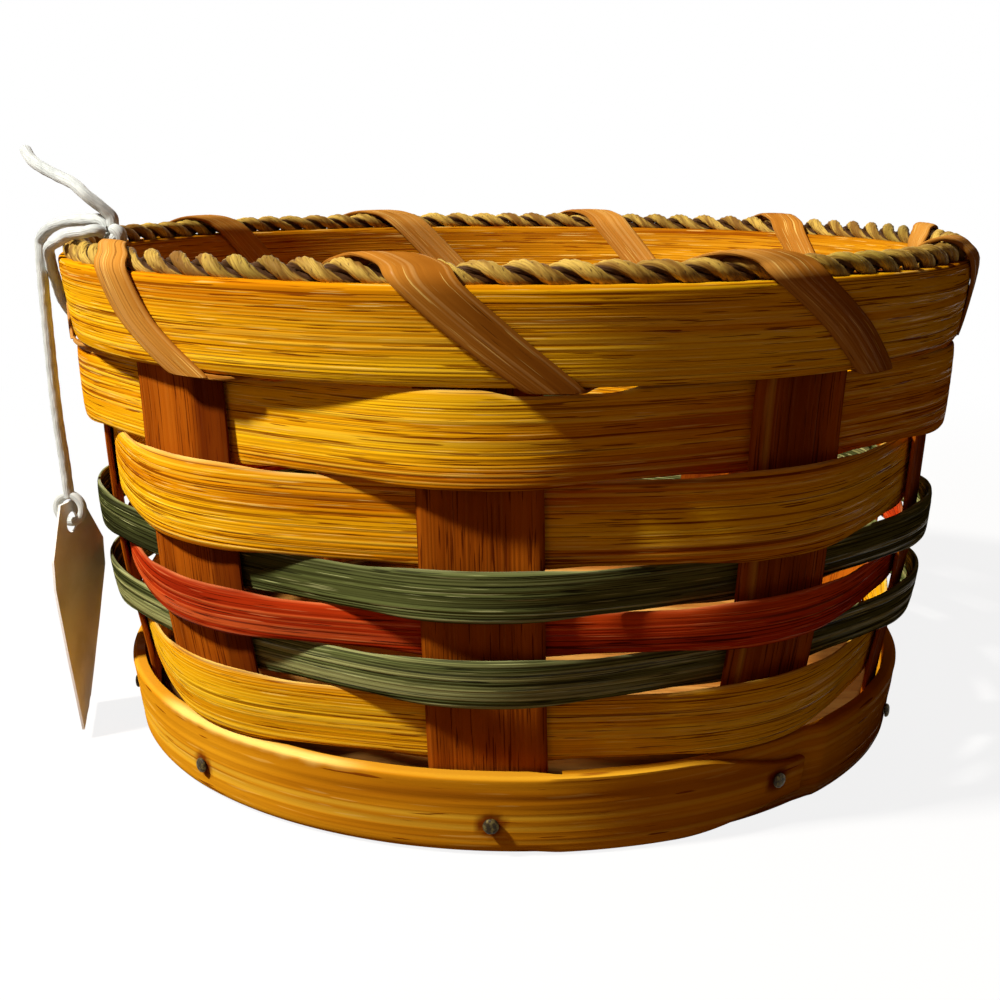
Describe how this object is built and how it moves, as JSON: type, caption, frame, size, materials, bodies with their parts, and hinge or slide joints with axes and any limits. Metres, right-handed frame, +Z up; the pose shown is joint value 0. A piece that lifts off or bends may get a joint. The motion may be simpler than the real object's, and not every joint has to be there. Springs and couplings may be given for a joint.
{
  "type": "round splint basket",
  "caption": "Round open basket: flat splint weave over upright stakes on a solid wooden bottom with a nailed band, lashed double-hoop rim and a string tag.",
  "frame": {"origin": "centre of the underside", "axes": "+Z up along the basket's axis; -Y is the front in the picture; the string and tag hang at the left, towards -X"},
  "size_m": [0.1926, 0.193, 0.1236],
  "materials": {
    "honey_reed": "clear-coated flat reed, fine lengthwise ridges",
    "green_reed": "dark green stained flat reed",
    "red_reed": "rust red stained flat reed",
    "stake_splint": "brown stained splint, lengthwise flecks",
    "base_wood": "plain light wood",
    "band_wood": "clear-coated bent strip, worn top edge",
    "rim_wood": "clear-coated bent strip",
    "lashing_reed": "brown stained flat reed, lengthwise ridges",
    "seagrass": "twisted natural grass",
    "brad_metal": "dull, domed heads",
    "cotton_string": "off-white twisted string",
    "tag_card": "curled buff card"
  },
  "bodies": {
    "basket": {"base_disc": "base_wood", "stake_01": "stake_splint", "stake_02": "stake_splint", "stake_03": "stake_splint", "stake_04": "stake_splint", "stake_05": "stake_splint", "stake_06": "stake_splint", "stake_07": "stake_splint", "stake_08": "stake_splint", "stake_09": "stake_splint", "stake_10": "stake_splint", "base_band": "band_wood", "brad_01": "brad_metal", "brad_02": "brad_metal", "brad_03": "brad_metal", "brad_04": "brad_metal", "brad_05": "brad_metal", "brad_06": "brad_metal", "brad_07": "brad_metal", "brad_08": "brad_metal", "brad_09": "brad_metal", "brad_10": "brad_metal", "weaver_6_foot": "honey_reed", "weaver_5_green": "green_reed", "weaver_4_red": "red_reed", "weaver_3_green": "green_reed", "weaver_2_wide": "honey_reed", "weaver_1_top": "honey_reed", "outer_rim_hoop": "rim_wood", "inner_rim_hoop": "rim_wood", "seagrass_strand_a": "seagrass", "seagrass_strand_b": "seagrass", "lashing_strip": "lashing_reed", "string_knot": "cotton_string", "string_tail": "cotton_string", "string_outer_run": "cotton_string", "string_inner_run": "cotton_string", "string_arch": "cotton_string"},
    "tag_string": {"tag_string": "cotton_string"},
    "hang_tag": {"hang_tag": "tag_card"}
  },
  "joints": [
    {"name": "string_swing", "type": "hinge", "parent": "basket", "child": "tag_string", "pos_m": [-0.09393, -0.03419, 0.101], "axis": [-0.342, 0.9397, 0], "range_deg": [-1.5, 80]},
    {"name": "tag_swing", "type": "hinge", "parent": "tag_string", "child": "hang_tag", "pos_m": [-0.09093, -0.03309, 0.0484], "axis": [0.1564, 0.9877, 0], "range_deg": [-3, 60]}
  ]
}
